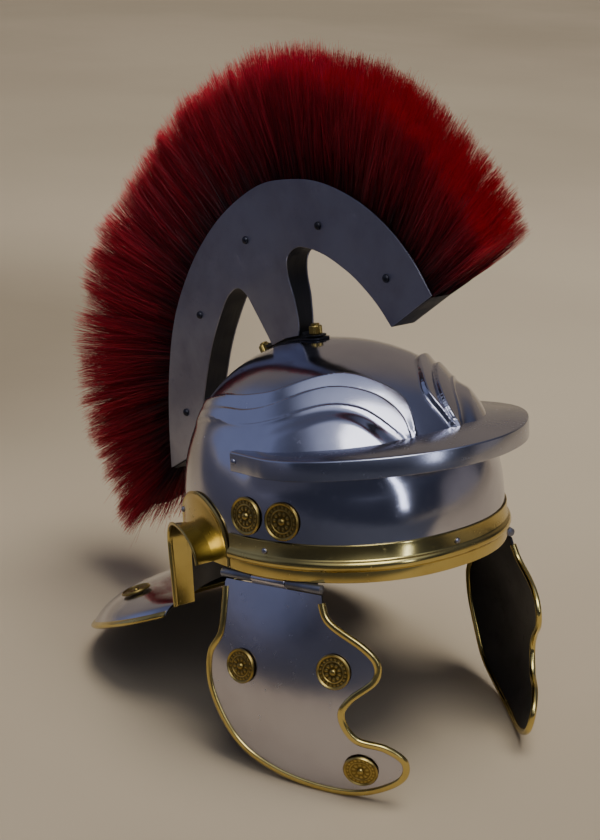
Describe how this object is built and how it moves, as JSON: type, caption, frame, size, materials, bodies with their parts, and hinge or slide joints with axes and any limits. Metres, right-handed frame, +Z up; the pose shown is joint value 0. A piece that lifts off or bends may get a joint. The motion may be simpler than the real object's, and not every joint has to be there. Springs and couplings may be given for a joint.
{
  "type": "roman legionary helmet",
  "caption": "Polished steel Roman legionary helmet with brass trim, brow guard, neck guard, hinged cheek guards and a fore-and-aft red horsehair crest.",
  "frame": {"origin": "the middle of the object's bounding box, at table height, with the helmet standing on its cheek guards and neck guard", "axes": "+Z up from the table, -Y towards the front of the helmet, +X towards the wearer's left"},
  "size_m": [0.2542, 0.4316, 0.4526],
  "materials": {
    "polished_steel": "mirror-polished steel sheet",
    "satin_steel": "satin steel sheet",
    "brass": "polished brass",
    "dark_steel": "dull dark steel",
    "black_wood": "black-painted wood",
    "red_horsehair": "dyed red horsehair"
  },
  "bodies": {
    "helmet": {"bowl": "polished_steel", "bowl_rosette_front_left": "brass", "bowl_rosette_front_right": "brass", "bowl_rosette_rear_left": "brass", "bowl_rosette_rear_right": "brass", "brow_guard": "polished_steel", "brow_rivet_left": "satin_steel", "brow_rivet_right": "satin_steel", "crest_core": "black_wood", "crest_holder": "black_wood", "crest_nut_front": "brass", "crest_nut_rear": "brass", "crest_plate_left": "satin_steel", "crest_plate_right": "satin_steel", "crest_rivet_1": "satin_steel", "crest_rivet_2": "satin_steel", "crest_rivet_3": "satin_steel", "crest_rivet_4": "satin_steel", "crest_rivet_5": "satin_steel", "crest_washer_front": "dark_steel", "crest_washer_rear": "dark_steel", "ear_guard_left": "brass", "ear_guard_right": "brass", "ear_rivet_left": "satin_steel", "ear_rivet_right": "satin_steel", "hinge_leaf_left": "dark_steel", "hinge_leaf_right": "dark_steel", "hinge_pin_left": "dark_steel", "hinge_pin_right": "dark_steel", "neck_edging": "brass", "neck_rosette_left": "brass", "neck_rosette_right": "brass", "plume": "red_horsehair", "rim_band": "brass", "rim_rivet_front": "satin_steel", "rim_rivet_side_left": "satin_steel", "rim_rivet_side_right": "satin_steel"},
    "cheek_right": {"cheek_edging_right": "brass", "cheek_guard_right": "polished_steel", "cheek_rosette_chin_right": "brass", "cheek_rosette_front_right": "brass", "cheek_rosette_rear_right": "brass"},
    "cheek_left": {"cheek_edging_left": "brass", "cheek_guard_left": "polished_steel", "cheek_rosette_chin_left": "brass", "cheek_rosette_front_left": "brass", "cheek_rosette_rear_left": "brass"}
  },
  "joints": [
    {"name": "cheek_guard_right_swing", "type": "hinge", "parent": "helmet", "child": "cheek_right", "pos_m": [-0.094, -0.1164, 0.13142], "axis": [-0.2781, 0.9508, -0.1365], "range_deg": [-15, 95]},
    {"name": "cheek_guard_left_swing", "type": "hinge", "parent": "helmet", "child": "cheek_left", "pos_m": [0.094, -0.1164, 0.13142], "axis": [-0.2781, -0.9508, 0.1365], "range_deg": [-15, 95]}
  ]
}
